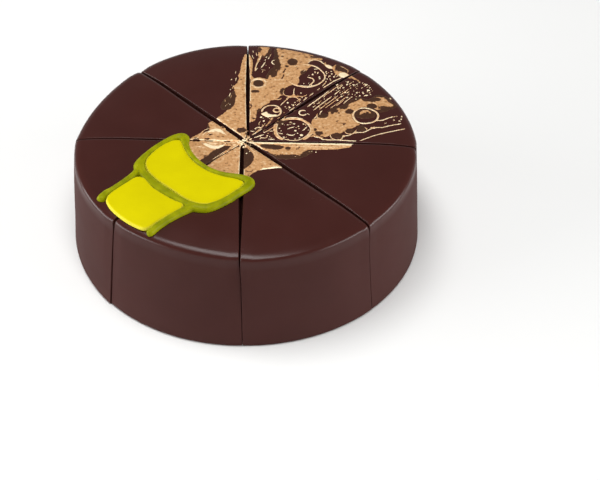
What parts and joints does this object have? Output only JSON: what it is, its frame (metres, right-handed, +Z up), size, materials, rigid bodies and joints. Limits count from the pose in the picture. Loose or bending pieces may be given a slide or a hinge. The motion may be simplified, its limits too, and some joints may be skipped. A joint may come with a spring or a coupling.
{
  "type": "champagne torte",
  "caption": "Whole round dark-glazed torte cut into slices that keep its shape, with a flat cork figure of piped and flooded icing on top.",
  "frame": {"origin": "middle of the cake's base circle, on the surface it stands on", "axes": "+Z up; -Y is the front, towards the viewer of the picture; the cork figure lies towards -X and -Y; the slices are numbered anticlockwise seen from above, from the one just past +X"},
  "size_m": [0.25, 0.25, 0.0789],
  "materials": {
    "glaze": "smooth semi-gloss chocolate glaze",
    "green_icing": "smooth piped icing, soft sheen",
    "yellow_icing": "smooth flooded icing, soft sheen"
  },
  "bodies": {
    "root": {"slice_1": "glaze", "slice_2": "glaze", "slice_3": "glaze", "slice_4": "glaze", "slice_5": "glaze", "slice_6": "glaze", "slice_7": "glaze", "slice_8": "glaze", "cork_outline": "green_icing", "cork_head_icing": "yellow_icing", "cork_body_icing": "yellow_icing"}
  },
  "joints": []
}
